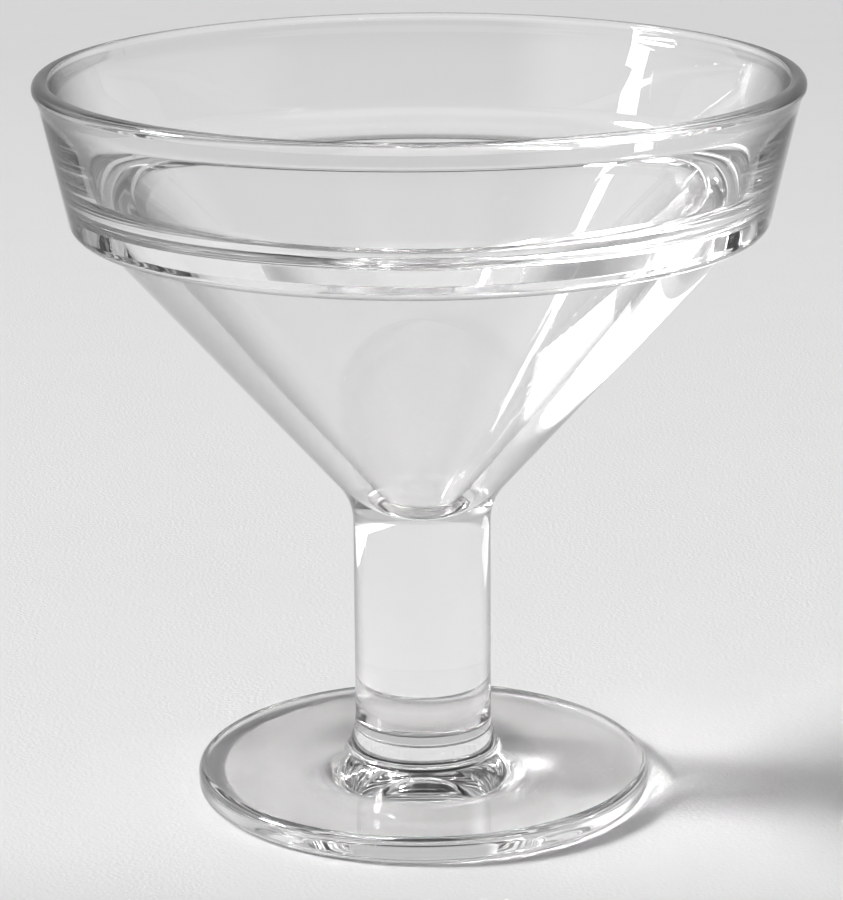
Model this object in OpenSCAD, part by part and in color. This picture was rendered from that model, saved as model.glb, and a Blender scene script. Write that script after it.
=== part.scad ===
// Footed ice cream cup in heavy clear glass: a conical bowl with an upright collar,
// a short solid stem and a flat round foot with a flared neck, joined face to face.
// Units are millimetres. Z is up, the foot rests on Z = 0 and the cup's axis is X = Y = 0.

/* [Foot] */
// Diameter of the foot
foot_d = 73.5; // [60:0.5:100]
// Thickness of the foot
foot_t = 4.4; // [3.2:0.1:8]
// Rounding of the foot's upper and lower edge
foot_edge_r = 1.5; // [0.5:0.1:1.5]

// Diameter inside which the foot's top rises towards the stem
pad_d = 38; // [34:0.5:56]
// Rise of the foot's top up to its flared neck
pad_rise = 2; // [0.8:0.1:2.6]
// Radius of the curve with which the rise starts
pad_blend_r = 35; // [5:1:40]
// Height of the flared neck under the stem
flare_h = 4.4; // [2.5:0.1:8]
// Width that the flare adds on each side
flare_w = 1.15; // [0.5:0.05:1.8]
// Rounding between the rise and the flare
flare_r = 1.5; // [0.5:0.1:2.5]
// Radius of the curve between flare and straight neck
flare_blend_r = 14; // [4:0.5:16]
// Height of the straight neck above the flare, up to the stem
boss_h = 2.1; // [1.5:0.1:5]

/* [Stem] */
// Diameter of the solid stem
stem_d = 22.1; // [16:0.1:30]
// Length of the stem between the necks of foot and bowl
stem_l = 27.5; // [12:0.5:60]

/* [Bowl cone] */
// Height of the straight neck under the cone, as wide as the stem
neck_h = 8.1; // [6:0.1:16]
// Height of the cone from the neck to the shoulder
cone_h = 44.7; // [36:0.1:60]
// Half angle of the cone, from upright
cone_angle = 41.6; // [36:0.1:50]
// Radius of the curve between neck and cone
cone_blend_r = 10; // [3:0.5:14]
// Glass between the stem joint and the lowest point of the hollow
floor_t = 7.1; // [5:0.1:12]
// Radius of the rounded point of the hollow
tip_r = 7; // [3:0.5:9]

/* [Collar] */
// Width of the shoulder under the collar
shoulder_w = 3.9; // [2:0.1:7]
// Rise of the shoulder towards its outer edge
shoulder_rise = 0.7; // [0.2:0.1:2]
// Rounding of the shoulder's outer edge
shoulder_r = 2; // [0.5:0.1:3]
// Rounding of the inside corner between cone and shoulder
shoulder_in_r = 1; // [0.4:0.1:1.4]
// Height of the collar from the shoulder to the rim
collar_h = 23.6; // [19:0.1:34]
// Outward lean of the collar, from upright
collar_lean = 12.45; // [6:0.05:16]

/* [Rim] */
// Height of the bead along the rim
bead_h = 3.7; // [2.6:0.1:6]
// Height of the bead's rounded lip, above its flank
lip_h = 1.6; // [1.4:0.1:2.2]
// Distance by which the bead stands proud of the collar
bead_out = 0.5; // [0.2:0.01:1.2]
// Radius of the hollow curve from collar to bead
bead_blend_r = 8; // [2:0.5:12]
// Width of the lip across its top
lip_w = 2.67; // [2.4:0.01:4]
// Rounding of the lip's outer edge
lip_out_r = 1.3; // [0.6:0.1:1.5]
// Rounding of the lip's inner edge
lip_in_r = 1.1; // [0.5:0.1:1.4]

/* [Inside of the collar] */
// Depth below the rim at which the inside wall starts to thicken
bend_drop = 5; // [4:0.1:7]
// Wall of the collar at that depth
wall_t = 2.54; // [2:0.01:4]
// Wall of the collar at the ledge
base_t = 3.7; // [2.8:0.1:5.5]
// Radius of the gentle bend in the inside wall
bend_r = 60; // [20:1:80]
// Height of the ledge above the shoulder's outer edge
ledge_rise = 4.4; // [3:0.1:8]
// Width of the ledge
ledge_w = 6.3; // [4:0.1:9]
// Rounding between inside wall and ledge
ledge_r = 6.7; // [2:0.1:7]
// Rounding of the ledge's inner edge
ledge_edge_r = 1; // [0.4:0.1:1.5]
// Height of the step from the ledge down to the inside cone
step_h = 3.1; // [1.5:0.1:5]
// Width of that step
step_w = 2; // [1:0.1:3]
// Rounding between step and inside cone
step_r = 3; // [1:0.5:5]

/* [Smoothness] */
// Straight pieces in each rounded corner
arc_n = 8; // [4:1:16]

/* [Hidden] */
$fn = 128;
glass = [0.86, 0.89, 0.89, 0.45];

stem_r = stem_d / 2;
foot_r = foot_d / 2;

// Heights of the joints and of the bowl's main levels
z_pad = foot_t + pad_rise;
z_flare = z_pad + flare_h;
z_boss = z_flare + boss_h;
z_seam = z_boss + stem_l;
z_cone = z_seam + neck_h;
z_cone_top = z_cone + cone_h;
z_shoulder = z_cone_top + shoulder_rise;
z_rim = z_shoulder + collar_h;
z_ledge = z_shoulder + ledge_rise;
z_step = z_ledge - step_h;
z_bead = z_rim - bead_h;
z_flank = z_rim - lip_h;
z_bend = z_rim - bend_drop;

// Outside radius of the cone at its top and of the collar at a height z
r_cone_top = stem_r + cone_h * tan(cone_angle);
r_collar0 = r_cone_top + shoulder_w;
function collar_r(z) = r_collar0 + (z - z_shoulder) * tan(collar_lean);

// Radii along the rim and down the inside of the collar
r_rim = collar_r(z_flank) + bead_out;
r_lip_in = r_rim - lip_w;
r_bend = collar_r(z_bend) - wall_t;
r_ledge_out = collar_r(z_ledge) - base_t;
r_ledge_in = r_ledge_out - ledge_w;
r_step = r_ledge_in - step_w;

// The hollow ends in a round point: its centre, and the angle at which the inside cone touches it
z_tip = z_seam + floor_t;
tip_z0 = z_tip + tip_r;
tip_reach = norm([r_step, z_step - tip_z0]);
tip_a = atan2(z_step - tip_z0, r_step) - acos(tip_r / tip_reach);

// Helpers for a path of corners, each written as [radius, height, rounding]
function at(p) = [p[0], p[1]];
function unit(v) = v / norm(v);
function turn(a, b, c) = acos(max(-1, min(1, unit(b - a) * unit(c - b))));
function side(a, b, c) = sign((b[0] - a[0]) * (c[1] - b[1]) - (b[1] - a[1]) * (c[0] - b[0]));

// Length that each corner's rounding takes from the lines on both sides of it
function takes(p) = [for (i = [0 : len(p) - 1])
    (i == 0 || i == len(p) - 1) ? 0
    : p[i][2] * tan(turn(at(p[i - 1]), at(p[i]), at(p[i + 1])) / 2)];

// Share of each line's roundings that fits on that line
function fits(p, t) = [for (i = [0 : len(p) - 2])
    min(1, 0.99 * norm(at(p[i + 1]) - at(p[i])) / max(0.0001, t[i] + t[i + 1]))];

// Points of one rounded corner whose rounding takes length t on both lines
function corner(a, b, c, t) =
    let (w = turn(a, b, c), s = side(a, b, c))
    (t < 0.0001 || w < 0.01) ? [b]
    : let (r = t / tan(w / 2),
           d = unit(b - a),
           n = [-d[1], d[0]] * s,
           start = b - d * t,
           mid = start + n * r)
      [for (k = [0 : arc_n])
          let (g = k * w / arc_n)
          mid - n * r * cos(g) + d * r * sin(g)];

// The whole path with its corners rounded
function rounded(p) =
    let (t = takes(p), f = fits(p, t))
    [for (i = [0 : len(p) - 1])
        let (q = (i == 0 || i == len(p) - 1) ? [at(p[i])]
                 : corner(at(p[i - 1]), at(p[i]), at(p[i + 1]), t[i] * min(f[i - 1], f[i])))
        for (e = q) e];

// Half outline of the bowl, from the middle of its joint outwards, up, over the rim and back down inside
bowl_path = [
    [0, z_seam, 0],
    [stem_r, z_seam, 0],
    [stem_r, z_cone, cone_blend_r],
    [r_cone_top, z_cone_top, shoulder_in_r],
    [r_collar0, z_shoulder, shoulder_r],
    [collar_r(z_bead), z_bead, bead_blend_r],
    [r_rim, z_flank, 0],
    [r_rim, z_rim, lip_out_r],
    [r_lip_in, z_rim, lip_in_r],
    [r_bend, z_bend, bend_r],
    [r_ledge_out, z_ledge, ledge_r],
    [r_ledge_in, z_ledge, ledge_edge_r],
    [r_step, z_step, step_r],
    [tip_r * cos(tip_a), tip_z0 + tip_r * sin(tip_a), 0]];

// Round point at the bottom of the hollow, down to the axis
tip_path = [for (k = [1 : arc_n])
    let (g = tip_a + (-90 - tip_a) * k / arc_n)
    [k == arc_n ? 0 : tip_r * cos(g), tip_z0 + tip_r * sin(g)]];

// Half outline of the foot, from its underside up to the joint with the stem
foot_path = [
    [0, 0, 0],
    [foot_r, 0, foot_edge_r],
    [foot_r, foot_t, foot_edge_r],
    [pad_d / 2, foot_t, pad_blend_r],
    [stem_r + flare_w, z_pad, flare_r],
    [stem_r, z_flare, flare_blend_r],
    [stem_r, z_boss, 0],
    [0, z_boss, 0]];

// Bowl: neck, cone, collar, beaded rim and the stepped hollow
module bowl() {
    color(glass)
    rotate_extrude()
    polygon(concat(rounded(bowl_path), tip_path));
}

// Stem: plain solid round bar
module stem() {
    color(glass)
    translate([0, 0, z_boss])
    cylinder(h = stem_l, r = stem_r);
}

// Foot: disc with rounded edges, whose top rises to a flared neck
module foot() {
    color(glass)
    rotate_extrude()
    polygon(rounded(foot_path));
}

bowl();
stem();
foot();
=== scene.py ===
"""Footed ice cream cup in heavy clear glass, standing on a pale table top in soft light.

The bowl, the stem and the foot are turned from their half outlines, in millimetres, and meet
at two fused joints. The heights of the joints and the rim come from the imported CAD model.
"""

import math

import bmesh
import bpy
from mathutils import Matrix, Vector


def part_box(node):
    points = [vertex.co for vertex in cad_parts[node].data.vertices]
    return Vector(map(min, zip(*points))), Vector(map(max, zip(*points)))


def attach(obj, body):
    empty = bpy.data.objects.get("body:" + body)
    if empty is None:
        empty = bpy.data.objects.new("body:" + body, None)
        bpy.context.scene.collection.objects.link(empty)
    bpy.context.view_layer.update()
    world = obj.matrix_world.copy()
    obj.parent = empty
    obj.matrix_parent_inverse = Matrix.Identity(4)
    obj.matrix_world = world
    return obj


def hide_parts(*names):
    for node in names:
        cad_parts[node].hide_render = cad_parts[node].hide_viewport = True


# A millimetre in metres, and what counts as no distance, in millimetres
MM = 0.001
NEAR = 1e-6

# Foot and stem, in millimetres
FOOT_R = 36.75
FOOT_EDGE_R = 1.5
PAD_R = 19
PAD_RISE = 2
PAD_BLEND_R = 35
FLARE_W = 1.15
FLARE_H = 4.4
FLARE_R = 1.5
FLARE_BLEND_R = 14
BOSS_H = 2.1
STEM_R = 11.05

# Outside of the bowl, in millimetres and radians
NECK_H = 8.1
CONE_BLEND_R = 10
CONE_ANGLE = math.radians(41.6)
SHOULDER_W = 3.9
SHOULDER_RISE = 0.7
SHOULDER_R = 2
SHOULDER_IN_R = 1
COLLAR_H = 23.6
COLLAR_LEAN = math.radians(12.45)
BEAD_H = 3.7
BEAD_OUT = 0.5
BEAD_BLEND_R = 8
BEAD_R = 0.3
LIP_H = 1.6
LIP_W = 2.67
LIP_OUT_R = 1.3
LIP_IN_R = 1.1

# Inside of the bowl, in millimetres
BEND_DROP = 5
BEND_R = 60
WALL_T = 2.54
BASE_T = 3.7
LEDGE_RISE = 4.4
LEDGE_W = 6.3
LEDGE_R = 6.7
LEDGE_EDGE_R = 1
STEP_H = 3.1
STEP_W = 2
STEP_R = 3
FLOOR_T = 7.1
TIP_R = 7

# Fineness of the turned meshes, and the runs that get points close to their ends, in millimetres
TURN_STEPS = 320
ARC_STEPS = 14
SUPPORT = 0.03
LONG_RUN = 1.2

# Camera fitted to the photograph: place in millimetres, angles in radians, focal length in pixels
IMAGE_H = 900
CAMERA_BACK = 545.68
CAMERA_UP = 211.74
CAMERA_PITCH = 0.27733
CAMERA_ROLL = 0.0066
FOCAL_PX = 3549.2
SENSOR = 36
CLIP_START = 0.01

# Glass: its tone seen straight on, the painted shade it turns to where it is seen along its surface,
# and where it goes from one to the other
GLASS_IOR = 1.5
GLASS_CLEAR = 1
GLASS_EDGE_SHADE = 0.1
GLASS_SLANT = (0.45, 0.9)

# Glass: waves a metre, and depth in metres or roughness, of its press waves and scratches
PRESS_WAVES = (70, 70, 35)
PRESS_DEPTH = 0.00003
SCRATCH_WAVES = (900, 900, 12)
SCRATCH_CUT = (0.74, 0.8)
SCRATCH_ROUGH = 0.12

# Paper: its shine, and waves a metre, detail and strength of its mottling and its grain
PAPER_ROUGH = 0.9
PAPER_SHINE = 0.2
PAPER_WAVES = (60, 60, 60)
PAPER_DETAIL = 4
PAPER_MOTTLE = 0.06
GRAIN_WAVES = (1500, 1500, 1500)
GRAIN_DETAIL = 2
GRAIN_DEPTH = 0.00008

# Table top: half width and height in metres, its pale tone by the cup, and the grey of the painted
# shade at its sides
TABLE_HALF = 4
TABLE_Z = -0.00005
TABLE_PALE = 0.82
TABLE_PAINTED_SHADE = 0.5

# Where the painted shade on the table top gives way to the pale tone, in metres, how its sides spread,
# and how pale it stays far off
PALE_LEFT = (-0.15, -0.09)
PALE_LEFT_SPREAD = 0.125
PALE_RIGHT = (0.18, 0.1)
PALE_RIGHT_SPREAD = -0.19
PALE_FRONT = (-0.11, -0.02)
PALE_FAR = (2.2, -0.4)
PALE_LEAST = 0.6

# Brightness of the room everywhere, and what soft patches add to it between directions
ROOM_DIM = 0.03
ROOM_PATCHES = [
    (0.5, [("Y", 0.35, 0.65), ("Z", 0.55, 0.45)]),
    (1.1, [("X", -0.45, -0.75), ("Z", 0.02, 0.25), ("Z", 0.88, 0.75)]),
    (1.1, [("Y", -0.2, -0.45), ("Z", 0.6, 0.7), ("Z", 0.95, 0.85)]),
    (0.35, [("X", 0.6, 0.85), ("Z", 0.05, 0.12), ("Z", 0.42, 0.3)]),
]

# Point that the lamps are turned to, in metres
MIDDLE = Vector((0, 0, 0.05))

# Lamps around the cup: azimuth and elevation in degrees and distance, then size and power
WINDOW_FROM = (177, 36, 2.5)
WINDOW_ANGLE = 13.4
WINDOW_POWER = 3.15
PANE_FROM = (190, 17, 1.5)
PANE_SIZE = (0.2, 0.16)
PANE_POWER = 1.3
SIDE_PANE_FROM = (157, 46, 1.5)
SIDE_PANE_SIZE = (0.08, 0.2)
SIDE_PANE_POWER = 0.8

# Low lamps behind the cup that shine up through its right side: place, size and power
UP = Vector((0, 0, 1))
SWEEP_PLACE = Vector((0.069, 0.1225, 0.015))
SWEEP_SIZE = (0.03, 0.175)
SWEEP_POWER = 0.0313
SOFT_PLACE = Vector((0.076, 0.125, 0.0155))
SOFT_SIZE = (0.048, 0.17)
SOFT_POWER = 0.01025

# How often light may pass or bounce off glass
BOUNCES = 32
GLOSSY_BOUNCES = 16


def rounded(path):
    """The points of a path of (radius, height, rounding) corners, with an arc in each rounded one."""
    points = []
    for i, (r, z, rounding) in enumerate(path):
        here = Vector((r, z))
        if not rounding:
            points.append(here)
            continue
        back = (Vector(path[i - 1][:2]) - here).normalized()
        ahead = (Vector(path[i + 1][:2]) - here).normalized()
        half = back.angle(ahead) / 2
        middle = here + (back + ahead).normalized() * rounding / math.sin(half)
        start = here + back * rounding / math.tan(half) - middle
        sweep = math.pi - 2 * half
        if back.x * ahead.y - back.y * ahead.x > 0:
            sweep = -sweep
        for k in range(ARC_STEPS + 1):
            points.append(middle + Matrix.Rotation(sweep * k / ARC_STEPS, 2) @ start)
    return points


def supported(points):
    """The same points, with one more close to each end of a long run, to keep its shading straight."""
    out = [points[0]]
    for a, b in zip(points, points[1:]):
        run = b - a
        if run.length > LONG_RUN:
            out.append(a + run.normalized() * SUPPORT)
            out.append(b - run.normalized() * SUPPORT)
        out.append(b)
    return out


def ring(bm, point):
    """The vertices of one turn of an outline's point, or its one vertex if it is on the axis."""
    count = TURN_STEPS if point.x > NEAR else 1
    verts = []
    for k in range(count):
        turn = 2 * math.pi * k / count
        x = point.x * MM * math.cos(turn)
        y = point.x * MM * math.sin(turn)
        verts.append(bm.verts.new((x, y, point.y * MM)))
    return verts


def turned(name, points, joints):
    """A closed mesh turned from a half outline.

    A run lies in a fused joint if both its ends are at a joint's height and no further out than
    the joint's radius. It gets the second material, and a sharp rim.
    """

    def in_joint(p):
        return any(abs(p.y - z) < NEAR and p.x <= r + NEAR for z, r in joints)

    bm = bmesh.new()
    rings = [ring(bm, p) for p in points]
    for p, q, low, high in zip(points, points[1:], rings, rings[1:]):
        for k in range(TURN_STEPS):
            corners = []
            for verts, n in ((low, k), (low, k + 1), (high, k + 1), (high, k)):
                v = verts[n % len(verts)]
                if v not in corners:
                    corners.append(v)
            face = bm.faces.new(corners)
            face.smooth = True
            face.material_index = 1 if in_joint(p) and in_joint(q) else 0
    bmesh.ops.recalc_face_normals(bm, faces=bm.faces)
    for edge in bm.edges:
        kinds = {face.material_index for face in edge.link_faces}
        edge.smooth = len(kinds) == 1
    mesh = bpy.data.meshes.new(name)
    bm.to_mesh(mesh)
    bm.free()
    piece = bpy.data.objects.new(name, mesh)
    bpy.context.scene.collection.objects.link(piece)
    return piece


def foot_outline(z_boss):
    """Half outline of the foot: a flat disc whose top rises to a flared neck, as wide as the stem."""
    z_flare = z_boss - BOSS_H
    z_pad = z_flare - FLARE_H
    z_foot = z_pad - PAD_RISE
    return rounded([
        (0, 0, 0),
        (FOOT_R, 0, FOOT_EDGE_R),
        (FOOT_R, z_foot, FOOT_EDGE_R),
        (PAD_R, z_foot, PAD_BLEND_R),
        (STEM_R + FLARE_W, z_pad, FLARE_R),
        (STEM_R, z_flare, FLARE_BLEND_R),
        (STEM_R, z_boss, 0),
        (0, z_boss, 0),
    ])


def stem_outline(z_boss, z_seam):
    """Half outline of the stem, a plain round bar."""
    return rounded([
        (0, z_boss, 0),
        (STEM_R, z_boss, 0),
        (STEM_R, z_seam, 0),
        (0, z_seam, 0),
    ])


def bowl_outline(z_seam, z_rim):
    """Half outline of the bowl: along the joint, up cone and collar, over the rim and down inside."""
    z_shoulder = z_rim - COLLAR_H
    z_cone_top = z_shoulder - SHOULDER_RISE
    z_cone = z_seam + NECK_H
    z_ledge = z_shoulder + LEDGE_RISE
    z_step = z_ledge - STEP_H
    r_cone_top = STEM_R + (z_cone_top - z_cone) * math.tan(CONE_ANGLE)

    def collar(z):
        return r_cone_top + SHOULDER_W + (z - z_shoulder) * math.tan(COLLAR_LEAN)

    r_rim = collar(z_rim - LIP_H) + BEAD_OUT
    r_ledge = collar(z_ledge) - BASE_T
    r_step = r_ledge - LEDGE_W - STEP_W

    # The inside cone runs from the step to a tangent on the round point of the hollow
    tip_z = z_seam + FLOOR_T + TIP_R
    reach = math.hypot(r_step, z_step - tip_z)
    touch = math.atan2(z_step - tip_z, r_step) - math.acos(TIP_R / reach)
    corners = [
        (0, z_seam, 0),
        (STEM_R, z_seam, 0),
        (STEM_R, z_cone, CONE_BLEND_R),
        (r_cone_top, z_cone_top, SHOULDER_IN_R),
        (collar(z_shoulder), z_shoulder, SHOULDER_R),
        (collar(z_rim - BEAD_H), z_rim - BEAD_H, BEAD_BLEND_R),
        (r_rim, z_rim - LIP_H, BEAD_R),
        (r_rim, z_rim, LIP_OUT_R),
        (r_rim - LIP_W, z_rim, LIP_IN_R),
        (collar(z_rim - BEND_DROP) - WALL_T, z_rim - BEND_DROP, BEND_R),
        (r_ledge, z_ledge, LEDGE_R),
        (r_ledge - LEDGE_W, z_ledge, LEDGE_EDGE_R),
        (r_step, z_step, STEP_R),
        (TIP_R * math.cos(touch), tip_z + TIP_R * math.sin(touch), 0),
    ]
    tip = []
    for k in range(1, ARC_STEPS + 1):
        angle = touch + (-math.pi / 2 - touch) * k / ARC_STEPS
        tip.append(Vector((TIP_R * math.cos(angle), tip_z + TIP_R * math.sin(angle))))
    tip[-1].x = 0
    return rounded(corners) + tip


def new_material(name):
    """A new node material, its tree and its Principled shader."""
    material = bpy.data.materials.new(name)
    material.use_nodes = True
    return material, material.node_tree, material.node_tree.nodes["Principled BSDF"]


def ramp(tree, value, start, end):
    """Socket that goes softly from 0 to 1 as value goes from start to end."""
    node = tree.nodes.new("ShaderNodeMapRange")
    node.interpolation_type = "SMOOTHSTEP"
    node.inputs["From Min"].default_value = start
    node.inputs["From Max"].default_value = end
    tree.links.new(value, node.inputs["Value"])
    return node.outputs[0]


def math_node(tree, operation, first, second):
    """Socket with the result of an operation on a socket and a socket or number."""
    node = tree.nodes.new("ShaderNodeMath")
    node.operation = operation
    tree.links.new(first, node.inputs[0])
    if isinstance(second, (int, float)):
        node.inputs[1].default_value = second
    else:
        tree.links.new(second, node.inputs[1])
    return node.outputs[0]


def tone_between(tree, first, second, share):
    """Socket with a grey that goes from the first tone to the second as share goes from 0 to 1."""
    node = tree.nodes.new("ShaderNodeMix")
    node.data_type = "RGBA"
    node.inputs["A"].default_value = (first, first, first, 1)
    node.inputs["B"].default_value = (second, second, second, 1)
    tree.links.new(share, node.inputs["Factor"])
    return node.outputs["Result"]


def noise(tree, waves, detail):
    """Socket with soft noise over the object, with so many waves a metre along X, Y and Z."""
    place = tree.nodes.new("ShaderNodeTexCoord")
    scale = tree.nodes.new("ShaderNodeMapping")
    scale.inputs["Scale"].default_value = waves
    texture = tree.nodes.new("ShaderNodeTexNoise")
    texture.inputs["Scale"].default_value = 1
    texture.inputs["Detail"].default_value = detail
    tree.links.new(place.outputs["Object"], scale.inputs["Vector"])
    tree.links.new(scale.outputs[0], texture.inputs["Vector"])
    return texture.outputs["Fac"]


def bumps(tree, shader, height, distance):
    """Lets the shader's surface rise and fall with a height, by a distance in metres."""
    node = tree.nodes.new("ShaderNodeBump")
    node.inputs["Distance"].default_value = distance
    tree.links.new(height, node.inputs["Height"])
    tree.links.new(node.outputs[0], shader.inputs["Normal"])


def glass_material():
    """Clear pressed glass with faint waves and fine scratches, and painted shade that greys it where
    it is seen along its surface.
    """
    material, tree, glass = new_material("clear_glass")
    glass.inputs["Transmission Weight"].default_value = 1
    glass.inputs["IOR"].default_value = GLASS_IOR
    # Painted shade: the base colour goes dark where light meets the glass along its surface, standing
    # in partly for its own absorption and partly for dark edges
    slant = tree.nodes.new("ShaderNodeLayerWeight")
    along = ramp(tree, slant.outputs["Facing"], *GLASS_SLANT)
    tone = tone_between(tree, GLASS_CLEAR, GLASS_EDGE_SHADE, along)
    tree.links.new(tone, glass.inputs["Base Color"])
    scratches = ramp(tree, noise(tree, SCRATCH_WAVES, 0), *SCRATCH_CUT)
    rough = math_node(tree, "MULTIPLY", scratches, SCRATCH_ROUGH)
    tree.links.new(rough, glass.inputs["Roughness"])
    bumps(tree, glass, noise(tree, PRESS_WAVES, 0), PRESS_DEPTH)
    return material


def joint_material():
    """Inside of a fused joint, which light passes as if nothing were there."""
    material, tree, old = new_material("fused_joint")
    clear = tree.nodes.new("ShaderNodeBsdfTransparent")
    tree.links.new(clear.outputs[0], tree.nodes["Material Output"].inputs["Surface"])
    tree.nodes.remove(old)
    return material


def painted_light_share(tree):
    """Socket for the painted light and shade on the table: 1 by the cup and behind it, falling to
    painted shade at the sides, in front and far off.
    """
    place = tree.nodes.new("ShaderNodeTexCoord")
    parts = tree.nodes.new("ShaderNodeSeparateXYZ")
    tree.links.new(place.outputs["Object"], parts.inputs[0])
    x, y = parts.outputs["X"], parts.outputs["Y"]
    left = math_node(tree, "ADD", x, math_node(tree, "MULTIPLY", y, PALE_LEFT_SPREAD))
    right = math_node(tree, "ADD", x, math_node(tree, "MULTIPLY", y, PALE_RIGHT_SPREAD))
    far = math_node(tree, "MAXIMUM", ramp(tree, y, *PALE_FAR), PALE_LEAST)
    share = math_node(tree, "MULTIPLY", ramp(tree, left, *PALE_LEFT), ramp(tree, right, *PALE_RIGHT))
    share = math_node(tree, "MULTIPLY", share, ramp(tree, y, *PALE_FRONT))
    return math_node(tree, "MULTIPLY", share, far)


def paper_material():
    """Pale matt paper with a faint mottling and a fine grain, greyed by painted shade at the sides, in
    front and far off.
    """
    material, tree, paper = new_material("pale_paper")
    mottle = math_node(tree, "MULTIPLY", noise(tree, PAPER_WAVES, PAPER_DETAIL), PAPER_MOTTLE)
    share = math_node(tree, "SUBTRACT", painted_light_share(tree), mottle)
    # Painted shade: grey at the sides, in front and far off, and pale by the cup
    tone = tone_between(tree, TABLE_PAINTED_SHADE, TABLE_PALE, share)
    tree.links.new(tone, paper.inputs["Base Color"])
    paper.inputs["Roughness"].default_value = PAPER_ROUGH
    paper.inputs["Specular IOR Level"].default_value = PAPER_SHINE
    bumps(tree, paper, noise(tree, GRAIN_WAVES, GRAIN_DETAIL), GRAIN_DEPTH)
    return material


def make_table():
    """The level table top."""
    signs = ((-1, -1), (1, -1), (1, 1), (-1, 1))
    corners = [(x * TABLE_HALF, y * TABLE_HALF, TABLE_Z) for x, y in signs]
    mesh = bpy.data.meshes.new("floor")
    mesh.from_pydata(corners, [], [range(len(corners))])
    sheet = bpy.data.objects.new("floor", mesh)
    bpy.context.scene.collection.objects.link(sheet)
    mesh.materials.append(paper_material())


def make_world():
    """A dim room that is lighter in some soft patches."""
    world = bpy.data.worlds.new("room")
    bpy.context.scene.world = world
    world.use_nodes = True
    tree = world.node_tree
    background = tree.nodes["Background"]
    place = tree.nodes.new("ShaderNodeTexCoord")
    parts = tree.nodes.new("ShaderNodeSeparateXYZ")
    tree.links.new(place.outputs["Generated"], parts.inputs[0])
    total = None
    for strength, spans in ROOM_PATCHES:
        light = None
        for axis, start, end in spans:
            part = ramp(tree, parts.outputs[axis], start, end)
            light = part if light is None else math_node(tree, "MULTIPLY", light, part)
        light = math_node(tree, "MULTIPLY", light, strength)
        total = light if total is None else math_node(tree, "ADD", total, light)
    total = math_node(tree, "ADD", total, ROOM_DIM)
    tree.links.new(total, background.inputs["Strength"])
    background.inputs["Color"].default_value = (1, 1, 1, 1)


def away(azimuth, elevation, distance):
    """The point at a distance from the middle of the cup, in a direction in degrees."""
    around = Matrix.Rotation(math.radians(azimuth), 3, "Z")
    raised = Matrix.Rotation(math.radians(-elevation), 3, "Y")
    return MIDDLE + around @ raised @ Vector((distance, 0, 0))


def add_lamp(light, place, target):
    """A lamp with this light at place, turned to target."""
    lamp = bpy.data.objects.new(light.name, light)
    bpy.context.scene.collection.objects.link(lamp)
    lamp.location = place
    lamp.rotation_euler = (target - place).to_track_quat("-Z", "Y").to_euler()
    return lamp


def area_light(name, place, target, size, power):
    """A rectangular lamp at place, turned to target and not itself seen by the camera."""
    light = bpy.data.lights.new(name, "AREA")
    light.shape = "RECTANGLE"
    light.size, light.size_y = size
    light.energy = power
    lamp = add_lamp(light, place, target)
    lamp.visible_camera = False


def sun_light(name, place, angle, power):
    """A lamp far off in the direction of place, as wide as an angle in degrees."""
    light = bpy.data.lights.new(name, "SUN")
    light.angle = math.radians(angle)
    light.energy = power
    add_lamp(light, place, MIDDLE)


def make_lamps():
    """A soft window on the left with two panes that show in the glass, and the low lamps behind."""
    sun_light("window", away(*WINDOW_FROM), WINDOW_ANGLE, WINDOW_POWER)
    area_light("pane", away(*PANE_FROM), MIDDLE, PANE_SIZE, PANE_POWER)
    area_light("side_pane", away(*SIDE_PANE_FROM), MIDDLE, SIDE_PANE_SIZE, SIDE_PANE_POWER)
    area_light("sweep", SWEEP_PLACE, SWEEP_PLACE + UP, SWEEP_SIZE, SWEEP_POWER)
    area_light("sweep_soft", SOFT_PLACE, SOFT_PLACE + UP, SOFT_SIZE, SOFT_POWER)


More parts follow.
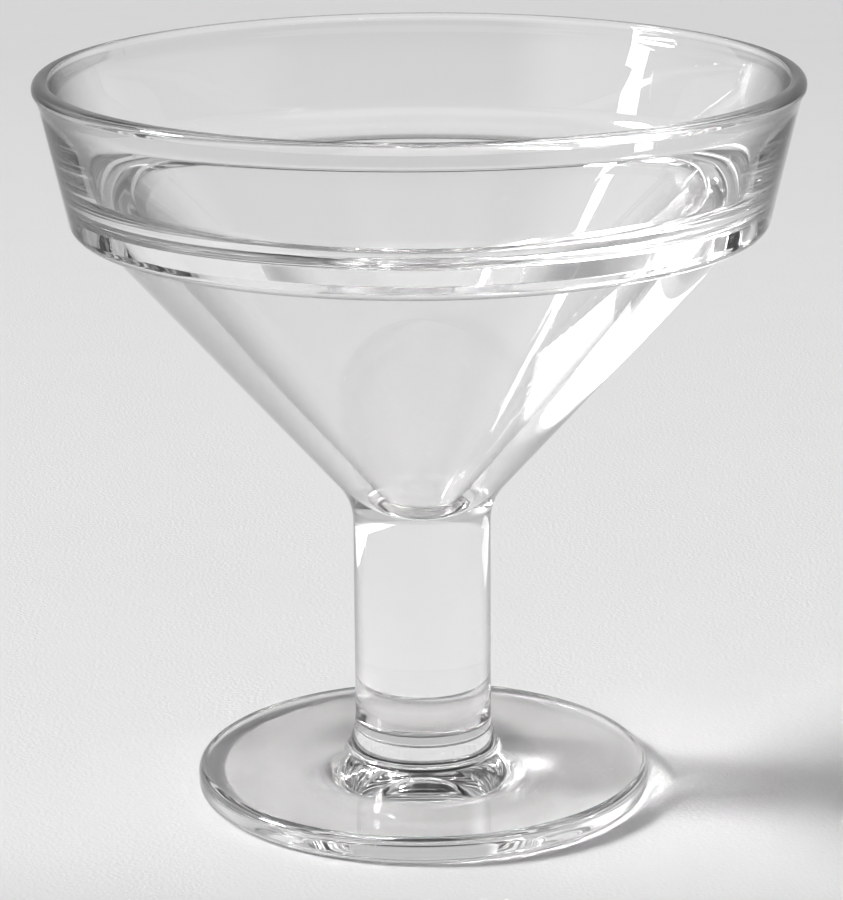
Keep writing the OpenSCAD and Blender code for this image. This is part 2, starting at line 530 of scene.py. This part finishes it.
def make_camera():
    """The camera at the photograph's place and tilt."""
    camera = bpy.data.cameras.new("camera")
    camera.sensor_width = SENSOR
    camera.lens = FOCAL_PX * SENSOR / IMAGE_H
    camera.clip_start = CLIP_START
    eye = bpy.data.objects.new("camera", camera)
    bpy.context.scene.collection.objects.link(eye)
    pitch = Matrix.Rotation(math.pi / 2 - CAMERA_PITCH, 4, "X")
    roll = Matrix.Rotation(-CAMERA_ROLL, 4, "Z")
    place = Matrix.Translation((0, -CAMERA_BACK * MM, CAMERA_UP * MM))
    eye.matrix_world = place @ pitch @ roll
    bpy.context.scene.camera = eye


def make_cup():
    """The three glass pieces, each in place of its CAD node."""
    z_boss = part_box("foot")[1].z / MM
    z_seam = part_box("stem")[1].z / MM
    z_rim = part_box("bowl")[1].z / MM
    boss = (z_boss, STEM_R)
    neck = (z_seam, STEM_R)
    outlines = {
        "foot": (foot_outline(z_boss), [boss]),
        "stem": (stem_outline(z_boss, z_seam), [boss, neck]),
        "bowl": (bowl_outline(z_seam, z_rim), [neck]),
    }
    glass = glass_material()
    joint = joint_material()
    for node, (points, joints) in outlines.items():
        piece = turned("glass_" + node, supported(points), joints)
        piece.data.materials.append(glass)
        piece.data.materials.append(joint)
        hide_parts(node)
        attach(piece, "root")


def set_cycles(scene):
    """Lets light pass all the glass, with sharp and unclipped highlights."""
    scene.cycles.sample_clamp_indirect = 0
    scene.cycles.blur_glossy = 0
    scene.cycles.max_bounces = BOUNCES
    scene.cycles.transmission_bounces = BOUNCES
    scene.cycles.glossy_bounces = GLOSSY_BOUNCES
    scene.cycles.transparent_max_bounces = BOUNCES


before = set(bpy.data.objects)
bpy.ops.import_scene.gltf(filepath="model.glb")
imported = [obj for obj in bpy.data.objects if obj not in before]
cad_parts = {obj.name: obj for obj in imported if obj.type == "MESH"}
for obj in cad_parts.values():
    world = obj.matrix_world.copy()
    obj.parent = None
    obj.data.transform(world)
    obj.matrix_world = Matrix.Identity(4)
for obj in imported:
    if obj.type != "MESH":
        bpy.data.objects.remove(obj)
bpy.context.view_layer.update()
make_cup()
make_table()
make_world()
make_lamps()
make_camera()
set_cycles(bpy.context.scene)
bpy.context.scene.view_settings.view_transform = "Standard"
